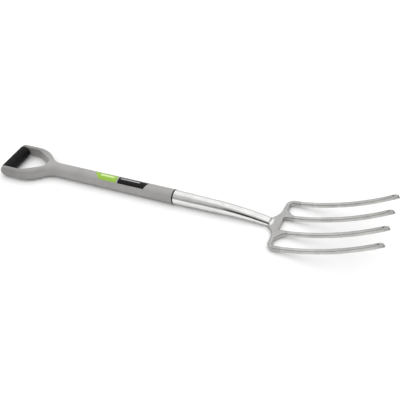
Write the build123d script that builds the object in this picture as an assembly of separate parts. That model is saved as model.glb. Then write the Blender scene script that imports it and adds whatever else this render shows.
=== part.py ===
from build123d import *
from math import asin, atan, cos, degrees, pi, radians, sin, sqrt
import os

# Four-tine digging fork, millimetres. It lies on its back with the hollow side of the tines up:
# +X runs from the handle to the tine tips, +Y is to one side and +Z is up.
# It is modelled with the shaft's axis as the X axis and the seal ring at x = 0, then moved as a
# whole so that the origin is the middle of the bounding box's underside.

# ---- Shaft: a steel tube inside a moulded sleeve ----
shaft_radius = 19.0
tube_radius = 15.0
tube_wall = 1.5
sleeve_length = 350.0
tube_in_socket = 85.0
tube_in_handle = 30.0

# ---- Seal ring between the sleeve and the socket ----
ring_width = 4.0
ring_proud = 0.5
spigot_length = 25.0
spigot_wall = 1.8

# ---- Socket: a tapered steel tube that bends down to an oval neck ----
socket_length = 256.0
socket_straight = 133.0
socket_wall = 1.9
neck_half_width = 14.2
neck_half_height = 10.0
neck_solid_length = 45.0

# ---- Neck weld: the hollow-faced bead that blends the neck into the yoke ----
weld_length = 10.0
weld_half_width = 19.5
weld_proud = 0.7
weld_hip = 0.45
weld_clearance = 0.4

# ---- Yoke: the flat forged crosspiece that carries the tines ----
yoke_thickness = 11.0
yoke_pitch = 6.55
yoke_edge_round = 3.2
yoke_bar_depth = 12.0
yoke_tongue_gap = 1.5
yoke_tongue_length = 18.0
yoke_tongue_half_width = 17.0
yoke_back_curve = 43.0
yoke_back_spread = 31.5
yoke_bar_lean = 1.0
yoke_corner_radius = 20.0
yoke_inner_corner_radius = 9.0
yoke_centre_corner_radius = 3.0
stub_length = 26.0
gusset_half_spread = 54.0
gusset_length = 18.0
gusset_back_curve = 7.0
gusset_curve = 17.0

# ---- Tines ----
tine_width = 10.9
tine_height = 10.7
tine_edge_round = 3.2
outer_tine_offset = 86.0
inner_tine_offset = 28.9
tine_reach = 238.5
tine_root_bend = 3.95
tine_root_radius = 120.0
tine_radius = 595.0
tip_taper_length = 16.0
tip_half_width = 4.5
tip_nose = 4.2
bevel_length = 15.0
bevel_depth = 5.0

# ---- Handle: a moulded Y that opens into a D with a crossbar ----
fork_length = 100.0
flare_length = 38.0
fork_sections = 10
swell_length = 75.0
stem_flat = 0.2
rail_corner_radius = 10.0
handle_half_width = 60.6
rail_half_thickness = 15.3
crossbar_setback = 142.8
crossbar_radius = 12.5
opening_edge_round = 4.0
opening_half_width = 46.0
opening_apex = 37.0
opening_apex_half_width = 13.0
opening_shoulder = 94.0
opening_shoulder_radius = 44.0
opening_apex_radius = 13.0

# ---- Grip, fasteners and labels ----
grip_radius = 16.5
grip_end_gap = 0.4
grip_end_round = 2.5
rivet_place = 55.0
rivet_radius = 2.5
rivet_head_radius = 4.5
rivet_head_height = 1.0
rivet_tail = 3.0
rivet_tail_radius = 3.75
rivet_seat_depth = 0.7
screw_place = 12.0
screw_radius = 2.0
screw_head_radius = 3.8
screw_head_depth = 2.4
screw_head_height = 1.7
drive_length = 4.8
drive_width = 1.0
drive_depth = 0.7
screw_tail = 3.0
label_thickness = 0.08
label_turn = 13.0
label_half_angle = 34.0
label_slant = 19.0
label_end_slant = 9.0
label_gap = 4.0
green_label_length = 71.0
black_label_length = 86.0
label_from_ring = 75.0

# ---- Modelling ----
touch = 0.01
over = 4.0
on_base = (Align.CENTER, Align.CENTER, Align.MIN)

# ---- Sizes that follow from the ones above ----
ring_radius = shaft_radius + ring_proud
rest_level = -ring_radius
sleeve_front = -ring_width / 2
sleeve_back = sleeve_front - sleeve_length
socket_start = ring_width / 2
socket_end = socket_start + socket_length
bend_start = socket_start + socket_straight
bend_run = socket_end - bend_start
bend_drop = ring_radius - neck_half_height
bend_angle = degrees(2 * atan(bend_drop / bend_run))
bend_radius = bend_run / sin(radians(bend_angle))
bend_half_width = shaft_radius + (neck_half_width - shaft_radius) * socket_straight / socket_length
spigot_radius = tube_radius + spigot_wall
stem_corner_radius = shaft_radius - stem_flat / 2
crossbar_x = sleeve_back - crossbar_setback
bar_back = yoke_tongue_length
bar_front = bar_back + yoke_bar_depth
stub_end = bar_front + stub_length
corner_y = outer_tine_offset + tine_width / 2

# The head lies in the yoke's own plane, pitched up from the heel where the yoke meets the ground.
head_place = Pos(socket_end + yoke_tongue_gap, 0, rest_level) * Rot(0, -yoke_pitch, 0)


def rod(radius, start, end):
    """Solid cylinder on the shaft's axis."""
    placed = Pos(start, 0, 0) * Rot(0, 90, 0)
    return placed * Cylinder(radius, end - start, align=on_base)


def post(radius, x, bottom, top):
    """Solid upright cylinder that crosses the shaft's axis at x."""
    return Pos(x, 0, bottom) * Cylinder(radius, top - bottom, align=on_base)


# ---------------------------------------------------------------- shaft

def shaft_core():
    """Steel tube, from inside the handle to deep in the socket."""
    start = sleeve_back - tube_in_handle
    end = socket_start + tube_in_socket
    tube = rod(tube_radius, start, end) - rod(tube_radius - tube_wall, start, end)
    return tube - rivet_hole() - screw_hole()


def shaft_sleeve():
    """Moulded sleeve over the tube, flush with the handle."""
    return rod(shaft_radius, sleeve_back, sleeve_front) - rod(tube_radius, sleeve_back, sleeve_front)


def seal_ring():
    """Flanged bush: a thin proud band, with a spigot that fills the socket's mouth."""
    band = rod(ring_radius, sleeve_front, socket_start)
    band = fillet(band.edges().filter_by(GeomType.CIRCLE), ring_proud)
    spigot = rod(spigot_radius, 0, socket_start + spigot_length)
    return band + spigot - rod(tube_radius, sleeve_front, socket_start + spigot_length)


# ---------------------------------------------------------------- socket

def neck_plane(share):
    """Plane square to the socket's centre line, at a share of its bend."""
    angle = radians(bend_angle * share)
    centre = (bend_start + bend_radius * sin(angle), 0, -bend_radius * (1 - cos(angle)))
    return Plane(origin=centre, x_dir=(0, 1, 0), z_dir=(cos(angle), 0, -sin(angle)))


def socket_skin(inset):
    """Outside of the socket, or its hollow when inset by the wall."""
    mouth = Plane(origin=(socket_start, 0, 0), x_dir=(0, 1, 0), z_dir=(1, 0, 0))
    straight = loft([mouth * Circle(shaft_radius - inset), neck_plane(0) * Circle(bend_half_width - inset)])
    sections = [neck_plane(0) * Circle(bend_half_width - inset)]
    for share in (1 / 3, 2 / 3, 1):
        half_width = bend_half_width + (neck_half_width - bend_half_width) * share
        half_height = bend_half_width + (neck_half_height - bend_half_width) * share
        sections.append(neck_plane(share) * Ellipse(half_width - inset, half_height - inset))
    return straight + loft(sections)


def socket():
    """Tapered tube with a solid neck; the shaft's tube is driven into its bored mouth."""
    hollow_start = socket_start + tube_in_socket
    hollow_end = socket_end - neck_solid_length
    window = Pos((hollow_start + hollow_end) / 2, 0, 0) * Box(
        hollow_end - hollow_start, over * shaft_radius, over * shaft_radius)
    body = socket_skin(0) - (socket_skin(socket_wall) & window)
    body -= rod(tube_radius, socket_start, hollow_start)
    body -= rod(spigot_radius, socket_start, socket_start + spigot_length)
    return body - rivet_hole() - rivet_seat()


def rivet_hole():
    """Hole up through the underside of the socket and the wall of the tube."""
    return post(rivet_radius, rivet_place, -shaft_radius, 0)


def rivet_skin():
    """Socket's radius at the rivet."""
    return shaft_radius + (neck_half_width - shaft_radius) * (rivet_place - socket_start) / socket_length


def rivet_seat():
    """Flat spot-face under the rivet's head."""
    return post(rivet_head_radius, rivet_place, -2 * shaft_radius, rivet_seat_depth - rivet_skin())


def socket_rivet():
    """Blind rivet that holds the socket on the tube."""
    head_top = rivet_seat_depth - rivet_skin()
    head_bottom = -rivet_skin() - rivet_head_height
    head = post(rivet_head_radius, rivet_place, head_bottom, head_top)
    head = fillet(head.edges().filter_by(GeomType.CIRCLE).sort_by(Axis.Z)[0], rivet_head_height)
    tail_start = tube_wall - tube_radius
    shank = post(rivet_radius, rivet_place, head_bottom + rivet_head_height, tail_start + rivet_tail)
    tail = post(rivet_tail_radius, rivet_place, tail_start + tube_wall, tail_start + rivet_tail)
    return head + shank + tail


# ---------------------------------------------------------------- head

def yoke():
    """Crosspiece with its back curve, outer corners, gussets and four stubs."""
    outer_in = outer_tine_offset - tine_width / 2
    inner_out = inner_tine_offset + tine_width / 2
    inner_in = inner_tine_offset - tine_width / 2
    plan = make_face(Polyline(
        (0, 0),
        (0, yoke_tongue_half_width),
        (bar_back, yoke_back_spread),
        (bar_back + yoke_bar_lean, corner_y),
        (stub_end, corner_y),
        (stub_end, outer_in),
        (bar_front, outer_in),
        (bar_front, gusset_half_spread),
        (bar_front + gusset_length, inner_out),
        (stub_end, inner_out),
        (stub_end, inner_in),
        (bar_front, inner_in),
        (bar_front, 0),
        (0, 0),
    ))
    for x, y, radius in (
        (bar_back, yoke_back_spread, yoke_back_curve),
        (bar_back + yoke_bar_lean, corner_y, yoke_corner_radius),
        (bar_front, outer_in, yoke_inner_corner_radius),
        (bar_front, gusset_half_spread, gusset_back_curve),
        (bar_front + gusset_length, inner_out, gusset_curve),
        (bar_front, inner_in, yoke_centre_corner_radius),
    ):
        plan = fillet(plan.vertices().sort_by_distance((x, y, 0))[0], radius)
    plan = plan + mirror(plan, about=Plane.XZ)
    plate = extrude(plan, yoke_thickness)
    rims = plate.edges().filter_by(Plane.XY)
    rims = rims.filter_by(lambda edge: touch < edge.center().X < stub_end - touch)
    return head_place * fillet(rims, yoke_edge_round)


def tine_path():
    """Centre line of a tine, in the yoke's plane from the end of its stub."""
    start = (stub_end, yoke_thickness / 2)
    root = JernArc(start, (1, 0), tine_root_radius, tine_root_bend)
    root_run = tine_root_radius * sin(radians(tine_root_bend))
    tip_angle = degrees(asin((tine_reach - root_run) / tine_radius + sin(radians(tine_root_bend))))
    main = JernArc(root @ 1, root % 1, tine_radius, tip_angle - tine_root_bend)
    return Plane.XZ * Wire(root.edges() + main.edges())


def tine(offset):
    """Bowed bar with a narrowed nose and a bevel ground on its upper side."""
    path = tine_path()
    root_plane = Plane(origin=path @ 0, x_dir=(0, 1, 0), z_dir=path % 0)
    bar = sweep(root_plane * RectangleRounded(tine_width, tine_height, tine_edge_round), path=path)
    tip_direction = path % 1
    tip_up = (-tip_direction.Z, 0, tip_direction.X)
    tip_plane = Plane(origin=path @ 1, x_dir=tip_direction, z_dir=tip_up)
    half = tine_width / 2
    taper_back = -tip_taper_length
    nose_back = -tip_nose
    nose = make_face(Wire([
        Line((taper_back, -half), (nose_back, -tip_half_width)).edge(),
        ThreePointArc((nose_back, -tip_half_width), (0, 0), (nose_back, tip_half_width)).edge(),
        Line((nose_back, tip_half_width), (taper_back, half)).edge(),
        Line((taper_back, half), (taper_back, -half)).edge(),
    ]))
    around_tip = Pos(taper_back, 0, 0) * Box(
        2 * tip_taper_length, 2 * tine_width, 2 * tine_width, align=(Align.MIN, Align.CENTER, Align.CENTER))
    bar -= tip_plane * (around_tip - extrude(nose, tine_width, both=True))
    bevel_angle = degrees(atan(bevel_depth / bevel_length))
    bevel = Pos(-bevel_length, 0, half) * Rot(0, bevel_angle, 0) * Box(
        over * bevel_length, 2 * tine_width, tine_width, align=on_base)
    bar -= tip_plane * bevel
    return head_place * Pos(0, offset, 0) * bar


def neck_weld():
    """Bead that spreads from the oval neck to the flat of the yoke."""
    neck = neck_plane(1)
    sections = [neck * Ellipse(neck_half_width, neck_half_height)]
    for share, half_width in ((weld_hip, (neck_half_width + weld_half_width) / 2), (1, weld_half_width)):
        place = socket_end + weld_length * share
        half_height = neck_half_height + (yoke_thickness / 2 + weld_proud - neck_half_height) * sqrt(share)
        section = Plane(origin=(place, 0, rest_level + half_height), x_dir=(0, 1, 0), z_dir=(1, 0, 0))
        sections.append(section * Ellipse(half_width, half_height))
    bead = loft(sections)
    above_ground = Pos(socket_end, 0, rest_level + weld_clearance) * Box(
        over * weld_length, over * weld_half_width, over * neck_half_height, align=on_base)
    bead = (bead & above_ground) - yoke() - socket()
    return bead.solids().sort_by(SortBy.VOLUME)[-1]


# ---------------------------------------------------------------- handle

def ease(share):
    """Smooth step from 0 to 1."""
    return (1 - cos(pi * share)) / 2


def fork_half_width(distance):
    """Half width of the Y at a distance behind the sleeve: two tangent arcs."""
    rise = handle_half_width - shaft_radius
    turn = 2 * atan(rise / fork_length)
    if distance < flare_length:
        radius = flare_length / sin(turn)
        return shaft_radius + radius - sqrt(radius ** 2 - distance ** 2)
    radius = (fork_length - flare_length) / sin(turn)
    return handle_half_width - radius + sqrt(radius ** 2 - (fork_length - distance) ** 2)


def handle_section(distance):
    """Section of the Y before the opening is cut: round at the stem, a rounded slab at the rails."""
    share = ease(min(distance / swell_length, 1))
    half_height = shaft_radius + (rail_half_thickness - shaft_radius) * share
    corner = stem_corner_radius + (rail_corner_radius - stem_corner_radius) * share
    place = Plane(origin=(sleeve_back - distance, 0, 0), x_dir=(0, 1, 0), z_dir=(-1, 0, 0))
    return place * RectangleRounded(2 * fork_half_width(distance), 2 * half_height, corner)


def handle_body():
    """Stem, fork and rails in one loft, with a round butt behind the crossbar."""
    step = fork_length / fork_sections
    fork = loft([handle_section(step * count) for count in range(fork_sections + 1)])
    rails = extrude(handle_section(fork_length), crossbar_setback - fork_length)
    upper_half = Pos(crossbar_x, 0, 0) * Box(
        handle_half_width, over * handle_half_width, over * rail_half_thickness, align=on_base)
    end_face = Pos(fork_length - crossbar_setback, 0, 0) * handle_section(fork_length)
    butt = revolve(end_face & upper_half, Axis((crossbar_x, 0, 0), (0, -1, 0)), 180)
    return fork + rails + butt


def hand_opening():
    """Cutter for the D: straight beside the crossbar, narrowing to a round apex at the stem."""
    back = crossbar_x - 2 * rail_half_thickness
    shoulder = (sleeve_back - opening_shoulder, opening_half_width)
    apex = (sleeve_back - opening_apex, opening_apex_half_width)
    plan = make_face(Polyline(
        (back, opening_half_width), shoulder, apex, (apex[0], -apex[1]), (shoulder[0], -shoulder[1]),
        (back, -opening_half_width), (back, opening_half_width),
    ))
    for side in (1, -1):
        for (x, y), radius in ((shoulder, opening_shoulder_radius), (apex, opening_apex_radius)):
            plan = fillet(plan.vertices().sort_by_distance((x, side * y, 0))[0], radius)
    return extrude(plan, 2 * shaft_radius, both=True)


def handle_frame():
    """Moulded Y handle: stem, two rails and the crossbar that the grip covers."""
    opening = hand_opening()
    body = handle_body() - opening
    opening_walls = [face for face in opening.faces() if abs(face.normal_at().Z) < touch]
    across = body.edges().filter_by(Axis.Z) + body.edges().filter_by(Axis.Y)
    lips = [edge for edge in body.edges() if edge not in across
            and min(wall.distance_to(Vertex(*(edge @ 0.5))) for wall in opening_walls) < touch]
    body = fillet(lips, opening_edge_round)
    reach = opening_half_width + opening_edge_round
    body += Pos(crossbar_x, 0, 0) * Rot(90, 0, 0) * Cylinder(crossbar_radius, 2 * reach)
    body -= rod(tube_radius, sleeve_back - tube_in_handle, sleeve_back)
    return body - screw_hole() - screw_seat()


def grip_sleeve():
    """Soft sleeve moulded round the crossbar."""
    half_length = opening_half_width - grip_end_gap
    sleeve = Cylinder(grip_radius, 2 * half_length)
    sleeve = fillet(sleeve.edges().filter_by(GeomType.CIRCLE), grip_end_round)
    sleeve -= Cylinder(crossbar_radius, 2 * half_length)
    return Pos(crossbar_x, 0, 0) * Rot(90, 0, 0) * sleeve


def screw_hole():
    """Hole up through the underside of the handle's stem and the wall of the tube."""
    return post(screw_radius, sleeve_back - screw_place, -2 * shaft_radius, 0)


def screw_seat():
    """Round seat for the screw's head, sunk into the underside of the stem."""
    seat_top = screw_head_depth - shaft_radius
    return post(screw_head_radius, sleeve_back - screw_place, -2 * shaft_radius, seat_top)


def handle_screw():
    """Screw that holds the handle on the tube."""
    place = sleeve_back - screw_place
    head_top = screw_head_depth - shaft_radius
    head_bottom = head_top - screw_head_height
    head = post(screw_head_radius, place, head_bottom, head_top)
    shank = post(screw_radius, place, head_top, tube_wall - tube_radius + screw_tail)
    drive = Box(drive_length, drive_width, 2 * drive_depth)
    drive += Rot(0, 0, 90) * drive
    return head + shank - Pos(place, 0, head_bottom) * drive


# ---------------------------------------------------------------- labels

def label(start, length, slants):
    """Thin wrapped label with slanted ends, from its start to its length along the shaft."""
    half = shaft_radius * sin(radians(label_half_angle))
    left_slant, right_slant = slants
    plan = make_face(Polyline(
        (start, half), (start + length, half), (start + length - right_slant, -half),
        (start + left_slant, -half), (start, half),
    ))
    skin = rod(shaft_radius + label_thickness, start - length, start + 2 * length)
    skin -= rod(shaft_radius, start - length, start + 2 * length)
    return Rot(label_turn, 0, 0) * (skin & extrude(plan, 2 * shaft_radius))


def build():
    """Every piece by name, in the shaft's frame."""
    black_start = -label_from_ring - black_label_length
    green_start = black_start - label_gap - green_label_length
    pieces = {
        "shaft_core": shaft_core(),
        "shaft_sleeve": shaft_sleeve(),
        "seal_ring": seal_ring(),
        "socket": socket(),
        "socket_rivet": socket_rivet(),
        "neck_weld": neck_weld(),
        "yoke": yoke(),
        "handle_frame": handle_frame(),
        "handle_screw": handle_screw(),
        "grip_sleeve": grip_sleeve(),
        "label_green": label(green_start, green_label_length, (label_slant, 0)),
        "label_black": label(black_start, black_label_length, (0, label_end_slant)),
    }
    for side, name in ((1, "left"), (-1, "right")):
        pieces[f"tine_{name}_inner"] = tine(side * inner_tine_offset)
        pieces[f"tine_{name}_outer"] = tine(side * outer_tine_offset)
    return pieces


def main():
    """Moves the tool so that its origin is under the middle of its box, and writes every piece."""
    pieces = build()
    boxes = [piece.bounding_box() for piece in pieces.values()]
    back = min(box.min.X for box in boxes)
    front = max(box.max.X for box in boxes)
    shift = Pos(-(back + front) / 2, 0, ring_radius)
    os.makedirs("parts", exist_ok=True)
    for name, piece in pieces.items():
        export_step(shift * piece, f"parts/{name}.step")


main()
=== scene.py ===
import math

import bpy
from mathutils import Matrix, Vector


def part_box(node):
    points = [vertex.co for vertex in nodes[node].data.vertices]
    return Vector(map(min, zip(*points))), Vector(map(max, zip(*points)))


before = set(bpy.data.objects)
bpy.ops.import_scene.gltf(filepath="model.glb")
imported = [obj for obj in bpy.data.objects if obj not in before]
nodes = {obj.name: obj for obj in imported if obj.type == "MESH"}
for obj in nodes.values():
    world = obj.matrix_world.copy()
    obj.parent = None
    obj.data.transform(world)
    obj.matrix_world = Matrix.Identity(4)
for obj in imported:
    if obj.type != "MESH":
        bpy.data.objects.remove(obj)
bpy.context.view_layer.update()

print("frame loaded with", len(nodes), "nodes")


# A wire is one output of a node. Sums on wires add Math nodes, so a mask reads as an expression.
class Wire:
    def __init__(self, kit, socket):
        self.kit = kit
        self.socket = socket

    def maths(self, operation, *values):
        return self.kit.node("ShaderNodeMath", {"operation": operation}, *values)

    def __add__(self, other):
        return self.maths("ADD", self, other)

    def __radd__(self, other):
        return self.maths("ADD", other, self)

    def __sub__(self, other):
        return self.maths("SUBTRACT", self, other)

    def __rsub__(self, other):
        return self.maths("SUBTRACT", other, self)

    def __mul__(self, other):
        return self.maths("MULTIPLY", self, other)

    def __rmul__(self, other):
        return self.maths("MULTIPLY", other, self)


noiseMiddle = 0.5                    # the level a noise swings about
mixColours, mixResult = (6, 7), 2    # the colour sockets of a Mix node


# Work on one node tree. A node takes its type, its settings, and the values or links of its sockets.
class NodeKit:
    def __init__(self, tree):
        self.tree = tree

    def add(self, kind, settings, *values, **named):
        made = self.tree.nodes.new(kind)
        for setting, value in settings.items():
            setattr(made, setting, value)
        for place, value in enumerate(values):
            self.feed(made.inputs[place], value)
        for name, value in named.items():
            self.feed(made.inputs[name], value)
        return made

    def node(self, kind, settings, *values, output=0, **named):
        return Wire(self, self.add(kind, settings, *values, **named).outputs[output])

    def feed(self, socket, value):
        if isinstance(value, Wire):
            self.tree.links.new(value.socket, socket)
        elif isinstance(value, tuple) and len(socket.default_value) > len(value):
            socket.default_value = (*value, 1)      # a colour without its alpha
        elif value is not None:
            socket.default_value = value

    def where(self):
        return self.node("ShaderNodeTexCoord", {}, output="Object")

    def axis(self, where, name):
        return self.node("ShaderNodeSeparateXYZ", {}, where, output=name)

    def stretched(self, where, scale):
        return self.node("ShaderNodeMapping", {}, Vector=where, Scale=scale)

    def noise(self, where, scale=1, detail=3, roughness=0.5):
        sockets = {"Vector": where, "Scale": scale, "Detail": detail, "Roughness": roughness}
        return self.node("ShaderNodeTexNoise", {}, **sockets)

    def sway(self, noise, amount):
        return (noise - noiseMiddle) * amount

    def span(self, value, low, high, first=0, last=1):
        settings = {"interpolation_type": "SMOOTHSTEP"}
        return self.node("ShaderNodeMapRange", settings, value, low, high, first, last)

    def blend(self, share, first, second):
        made = self.add("ShaderNodeMix", {"data_type": "RGBA"}, share)
        for place, colour in zip(mixColours, (first, second)):
            self.feed(made.inputs[place], colour)
        return Wire(self, made.outputs[mixResult])

    def bump(self, height, distance, under=None):
        return self.node("ShaderNodeBump", {}, Height=height, Distance=distance, Normal=under)


# A finish is one material with its shader.
class Finish(NodeKit):
    def __init__(self, name):
        self.material = bpy.data.materials.new(name)
        self.material.use_nodes = True
        super().__init__(self.material.node_tree)
        self.shader = self.tree.nodes["Principled BSDF"]

    def set(self, sockets):
        for name, value in sockets.items():
            self.feed(self.shader.inputs[name], value)

    def dress(self, *names):
        for name in names:
            for slot in nodes[name].material_slots:
                slot.material = self.material


# Grey cover: the moulded plastic of the sleeve and the handle. The handle is the sleeve's own grey
# where the two meet and darkens back towards its rails.
cover = {
    "colour": (0.320, 0.314, 0.306),
    "paler": (0.360, 0.353, 0.344),
    "railColour": (0.232, 0.227, 0.221),
    "railPaler": (0.270, 0.264, 0.257),
    "railShade": (0.02, 0.11),       # metres behind the sleeve where the darkening starts and ends
    "cloudScale": 22,
    "cloudRange": (0.3, 0.7),
    "grainSize": 0.0009,
    "grainDepth": 0.00004,
    "flowScale": (4, 40, 40),
    "flowDepth": 0.00014,
    "roughness": 0.36,
    "grainRoughness": 0.12,
    "cloudRoughness": 0.1,
}


def makeCover(name, spec, back):
    finish = Finish(name)
    where = finish.where()
    cloud = finish.noise(where, spec["cloudScale"], detail=2)
    tone = finish.span(cloud, *spec["cloudRange"])
    grain = finish.noise(where, 1 / spec["grainSize"], detail=2)
    flow = finish.noise(finish.stretched(where, spec["flowScale"]))
    start, end = (back - step for step in spec["railShade"])
    rail = finish.span(finish.axis(where, "X"), end, start, 1, 0)
    pale = finish.blend(tone, spec["colour"], spec["paler"])
    dark = finish.blend(tone, spec["railColour"], spec["railPaler"])
    uneven = finish.sway(grain, spec["grainRoughness"]) + finish.sway(cloud, spec["cloudRoughness"])
    finish.set({
        "Base Color": finish.blend(rail, pale, dark),
        "Roughness": spec["roughness"] + uneven,
        "Normal": finish.bump(grain, spec["grainDepth"], finish.bump(flow, spec["flowDepth"])),
    })
    return finish


makeCover("greyCover", cover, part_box("shaft_sleeve")[0][0]).dress("shaft_sleeve", "handle_frame")
print("cover done")

# Grip: matt soft rubber with a fine stipple.
grip = {
    "colour": (0.005, 0.005, 0.005),
    "worn": (0.012, 0.011, 0.011),
    "specular": 0.14,
    "cloudScale": 60,
    "wornRange": (0.35, 0.75),
    "stippleSize": 0.0016,
    "stippleRange": (0.1, 0.6),
    "stippleDepth": 0.00025,
    "roughness": 0.58,
    "cloudRoughness": 0.2,
}


def makeGrip(spec):
    finish = Finish("blackGrip")
    where = finish.where()
    cloud = finish.noise(where, spec["cloudScale"])
    cells = finish.node("ShaderNodeTexVoronoi", {}, Vector=where, Scale=1 / spec["stippleSize"])
    worn = finish.span(cloud, *spec["wornRange"])
    finish.set({
        "Specular IOR Level": spec["specular"],
        "Base Color": finish.blend(worn, spec["colour"], spec["worn"]),
        "Roughness": spec["roughness"] + finish.sway(cloud, spec["cloudRoughness"]),
        "Normal": finish.bump(finish.span(cells, *spec["stippleRange"]), spec["stippleDepth"]),
    })
    return finish


makeGrip(grip).dress("grip_sleeve")

# Seal ring: smooth black plastic with faint turning lines.
seal = {
    "colour": (0.010, 0.010, 0.010),
    "paler": (0.02, 0.02, 0.021),
    "specular": 0.15,
    "turningSize": 0.0006,
    "turningAcross": 30,
    "turningDepth": 0.00003,
    "roughness": 0.35,
    "turningRoughness": 0.15,
}


def makeSeal(spec):
    finish = Finish("blackSeal")
    scale = (1 / spec["turningSize"], spec["turningAcross"], spec["turningAcross"])
    turning = finish.noise(finish.stretched(finish.where(), scale), detail=2)
    finish.set({
        "Specular IOR Level": spec["specular"],
        "Base Color": finish.blend(turning, spec["colour"], spec["paler"]),
        "Roughness": spec["roughness"] + finish.sway(turning, spec["turningRoughness"]),
        "Normal": finish.bump(turning, spec["turningDepth"]),
    })
    return finish


makeSeal(seal).dress("seal_ring")
print("grip and ring done")

# Steels. Polish lines run along the tool, and the cloud is the slight unevenness of the polish.
polish = {
    "lineSize": 0.0008,
    "lineAlong": 8,
    "lineDepth": 0.000006,
    "lineRoughness": 0.12,
    "cloudScale": 30,
    "cloudRange": (0.3, 0.75),
    "cloudRoughness": 0.08,
    "waveScale": (14, 60, 60),
    "waveDepth": 0.00035,
}
socketSteel = dict(
    polish, colour=(0.80, 0.80, 0.79), duller=(0.70, 0.70, 0.69), roughness=0.15)
tubeSteel = dict(
    polish, colour=(0.45, 0.46, 0.47), duller=(0.36, 0.36, 0.36), roughness=0.4)
platedSteel = dict(
    polish, colour=(0.66, 0.66, 0.64), duller=(0.70, 0.70, 0.69), roughness=0.3)
tineSteel = dict(
    polish, colour=(0.56, 0.555, 0.54), duller=(0.46, 0.455, 0.445), roughness=0.27,
    lineSize=0.0009, lineDepth=0.00001, waveDepth=0.0002)

# Each tine tip has a ground facet. Where it starts, a small dark spot of painted shade sits in the
# middle of the tine, in place of a hollow that the mesh doesn't have.
groundTip = {
    "length": 0.016,
    "edge": 0.0025,
    "colour": (0.38, 0.375, 0.365),
    "paintedShadeColour": (0.10, 0.10, 0.10),
    "paintedShadeHalfLength": 0.0035,
    "paintedShadeHalfWidth": 0.0028,
    "paintedShadeFade": (0.35, 1.0),
}


def tipColour(finish, where, tine, spec, colour):
    low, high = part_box(tine)
    middle = (low[1] + high[1]) / 2
    fromEnd = high[0] - finish.axis(where, "X")
    ground = finish.span(fromEnd, spec["length"] - spec["edge"], spec["length"], 1, 0)
    along = (fromEnd - spec["length"]) * (1 / spec["paintedShadeHalfLength"])
    across = (finish.axis(where, "Y") - middle) * (1 / spec["paintedShadeHalfWidth"])
    # the small dark spot is painted shade, not a real hollow in the steel
    paintedShade = finish.span(along * along + across * across, *spec["paintedShadeFade"], 1, 0)
    colour = finish.blend(ground, colour, spec["colour"])
    return finish.blend(paintedShade, colour, spec["paintedShadeColour"])


def makeSteel(name, spec, tine=None):
    finish = Finish(name)
    where = finish.where()
    lineScale = (spec["lineAlong"], 1 / spec["lineSize"], 1 / spec["lineSize"])
    lines = finish.noise(finish.stretched(where, lineScale), detail=4)
    cloud = finish.noise(where, spec["cloudScale"])
    wave = finish.noise(finish.stretched(where, spec["waveScale"]), detail=2)
    colour = finish.blend(finish.span(cloud, *spec["cloudRange"]), spec["colour"], spec["duller"])
    if tine:
        colour = tipColour(finish, where, tine, groundTip, colour)
    uneven = finish.sway(lines, spec["lineRoughness"]) + finish.sway(cloud, spec["cloudRoughness"])
    finish.set({
        "Metallic": 1.0,
        "Base Color": colour,
        "Roughness": spec["roughness"] + uneven,
        "Normal": finish.bump(lines, spec["lineDepth"], finish.bump(wave, spec["waveDepth"])),
    })
    return finish


makeSteel("socketSteel", socketSteel).dress("socket", "neck_weld")
makeSteel("tubeSteel", tubeSteel).dress("shaft_core")
makeSteel("platedSteel", platedSteel).dress("socket_rivet", "handle_screw")
for tine in ("tine_left_outer", "tine_left_inner", "tine_right_inner", "tine_right_outer"):
    makeSteel(tine + "Steel", tineSteel, tine).dress(tine)

# Yoke: forged steel with the fine speckle that the die leaves.
forgedSteel = {
    "colour": (0.55, 0.545, 0.535),
    "pit": (0.35, 0.347, 0.34),
    "speckleSize": 0.0016,
    "speckleCoarseness": 0.65,
    "speckleRange": (0.42, 0.62),
    "speckleDepth": 0.00012,
    "cloudScale": 45,
    "roughness": 0.36,
    "speckleRoughness": 0.25,
    "cloudRoughness": 0.1,
}


def makeForged(spec):
    finish = Finish("forgedSteel")
    where = finish.where()
    speckle = finish.noise(where, 1 / spec["speckleSize"], 4, spec["speckleCoarseness"])
    cloud = finish.noise(where, spec["cloudScale"])
    clear = finish.span(speckle, *spec["speckleRange"])
    uneven = finish.sway(speckle, spec["speckleRoughness"]) + finish.sway(cloud, spec["cloudRoughness"])
    finish.set({
        "Metallic": 1.0,
        "Base Color": finish.blend(clear, spec["pit"], spec["colour"]),
        "Roughness": spec["roughness"] + uneven,
        "Normal": finish.bump(speckle, spec["speckleDepth"]),
    })
    return finish


makeForged(forgedSteel).dress("yoke")
print("steels done")

# Labels: printed film, each with one pale band of painted highlight, the white light's reflection along
# the sleeve put into the film's colour.
# The band is set by how far it runs along the label and how far across its face, as shares of the
# label's box.
film = {
    "paintedSheenEdge": 0.0006,
    "cloudScale": 90,
    "wrinkleScale": (20, 120, 120),
    "wrinkleDepth": 0.00015,
    "roughness": 0.30,
    "cloudRoughness": 0.08,
}
greenFilm = dict(
    film, colour=(0.25, 0.44, 0.035), paler=(0.31, 0.52, 0.05), paintedSheen=(0.62, 0.78, 0.36),
    specular=0.45, along=(0.30, 0.86), across=(0.50, 0.78))
blackFilm = dict(
    film, colour=(0.006, 0.006, 0.006), paler=(0.010, 0.010, 0.010), paintedSheen=(0.42, 0.42, 0.42),
    specular=0.14, along=(0.07, 0.72), across=(0.60, 0.78))


# 1 between two shares of a piece's length on one axis, and 0 outside them.
def between(finish, where, box, axisName, shares, edge):
    index = "XYZ".index(axisName)
    low, high = (corner[index] for corner in box)
    start, end = (low + (high - low) * share for share in shares)
    place = finish.axis(where, axisName)
    rise = finish.span(place, start - edge, start + edge)
    return rise * finish.span(place, end - edge, end + edge, 1, 0)


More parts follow.
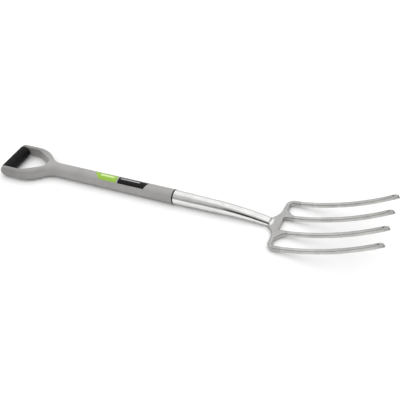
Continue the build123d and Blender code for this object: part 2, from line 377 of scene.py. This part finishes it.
def makeFilm(name, spec, box):
    finish = Finish(name)
    where = finish.where()
    along = between(finish, where, box, "X", spec["along"], spec["paintedSheenEdge"])
    across = between(finish, where, box, "Y", spec["across"], spec["paintedSheenEdge"])
    cloud = finish.noise(where, spec["cloudScale"], detail=2)
    wrinkle = finish.noise(finish.stretched(where, spec["wrinkleScale"]), detail=2)
    plain = finish.blend(cloud, spec["colour"], spec["paler"])
    finish.set({
        "Specular IOR Level": spec["specular"],
        # the pale band mixed in here is a painted highlight, not print
        "Base Color": finish.blend(along * across, plain, spec["paintedSheen"]),
        "Roughness": spec["roughness"] + finish.sway(cloud, spec["cloudRoughness"]),
        "Normal": finish.bump(wrinkle, spec["wrinkleDepth"]),
    })
    return finish


for label, spec in (("label_green", greenFilm), ("label_black", blackFilm)):
    makeFilm(label + "Film", spec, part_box(label)).dress(label)
print("labels done")

floorSpec = {
    "size": 9.0,
    "colour": (0.93, 0.93, 0.93),
    "paler": (0.95, 0.95, 0.95),
    "cloudScale": 3,
    "roughness": 0.9,
    "specular": 0.0,
}


def makeFloor(spec):
    half = spec["size"] / 2
    mesh = bpy.data.meshes.new("floor")
    corners = [(-half, -half, 0), (half, -half, 0), (half, half, 0), (-half, half, 0)]
    mesh.from_pydata(corners, [], [(0, 1, 2, 3)])
    made = bpy.data.objects.new("floor", mesh)
    bpy.context.scene.collection.objects.link(made)
    finish = Finish("paleFloor")
    cloud = finish.noise(finish.where(), spec["cloudScale"], detail=2)
    finish.set({
        "Base Color": finish.blend(cloud, spec["colour"], spec["paler"]),
        "Roughness": spec["roughness"],
        "Specular IOR Level": spec["specular"],
    })
    mesh.materials.append(finish.material)


makeFloor(floorSpec)

# Studio: a soft dome. What lights matt surfaces and what shines in glossy ones are set apart, as
# cards in a studio would. Heights run from 0 at the horizon to 1 overhead.
studio = {
    "backdrop": 1.0,          # what shows past the floor's edge
    "softZenith": 1.66,
    "softSides": 0.14,
    "softRise": (0.05, 1.0),
    "zenith": 1.15,
    "zenithRise": (0.88, 0.99),
    "farSide": 1.15,          # half way up behind the tool
    "farLow": 0.55,
    "farRise": (0.1, 0.6),
    "nearSide": 0.66,         # half way up on the camera's side
    "nearLow": 0.46,
    "nearRise": (0.30, 0.72),
    "farEdge": (-0.3, 0.3),   # where the near side turns into the far side
    "card": 0.03,             # the dark card on the camera's side, towards the tines
    "cardEdge": (-0.30, -0.18),
    "cardTop": (0.60, 0.78),
}


def makeStudio(spec):
    world = bpy.data.worlds.new("studio")
    world.use_nodes = True
    bpy.context.scene.world = world
    kit = NodeKit(world.node_tree)
    facing = kit.node("ShaderNodeTexCoord", {}, output="Generated")
    height = kit.axis(facing, "Z")
    far = kit.span(kit.axis(facing, "Y"), *spec["farEdge"])
    near = kit.span(height, *spec["nearRise"], spec["nearLow"], spec["nearSide"])
    card = kit.span(kit.axis(facing, "X"), *spec["cardEdge"]) * kit.span(height, *spec["cardTop"], 1, 0)
    near = near + card * (spec["card"] - near)
    back = kit.span(height, *spec["farRise"], spec["farLow"], spec["farSide"])
    sides = near + far * (back - near)
    glossy = sides + kit.span(height, *spec["zenithRise"]) * (spec["zenith"] - sides)
    soft = kit.span(height, *spec["softRise"], spec["softSides"], spec["softZenith"])
    isGlossy = kit.node("ShaderNodeLightPath", {}, output="Is Glossy Ray")
    isSeen = kit.node("ShaderNodeLightPath", {}, output="Is Camera Ray")
    glow = soft + isGlossy * (glossy - soft)
    dome = world.node_tree.nodes["Background"]
    dome.inputs["Color"].default_value = (1, 1, 1, 1)
    kit.feed(dome.inputs["Strength"], glow + isSeen * (spec["backdrop"] - glow))


makeStudio(studio)
print("floor and light done")

# Camera: at the side and above, a little rolled.
camera = {
    "target": (0.0500, 0.0083, 0.020),   # near the shaft's line, metres
    "distance": 1.7135,
    "azimuth": 25.82,                    # degrees round from -Y towards the tines
    "elevation": 40.37,
    "roll": -4.41,
    "lens": 60.12,
    "sensor": 36,
}


def makeCamera(spec):
    azimuth = math.radians(spec["azimuth"])
    elevation = math.radians(spec["elevation"])
    back = Vector((
        math.sin(azimuth) * math.cos(elevation),
        -math.cos(azimuth) * math.cos(elevation),
        math.sin(elevation),
    ))
    level = Vector((math.cos(azimuth), math.sin(azimuth), 0))
    roll = Matrix.Rotation(math.radians(spec["roll"]), 3, back)
    right = roll @ level
    up = roll @ back.cross(level)
    data = bpy.data.cameras.new("camera")
    data.sensor_width = spec["sensor"]
    data.lens = spec["lens"]
    made = bpy.data.objects.new("camera", data)
    turned = Matrix((right, up, back)).transposed().to_4x4()
    made.matrix_world = Matrix.Translation(Vector(spec["target"]) + back * spec["distance"]) @ turned
    bpy.context.scene.collection.objects.link(made)
    bpy.context.scene.camera = made
    bpy.context.scene.view_settings.view_transform = "Standard"


makeCamera(camera)
print("camera placed")
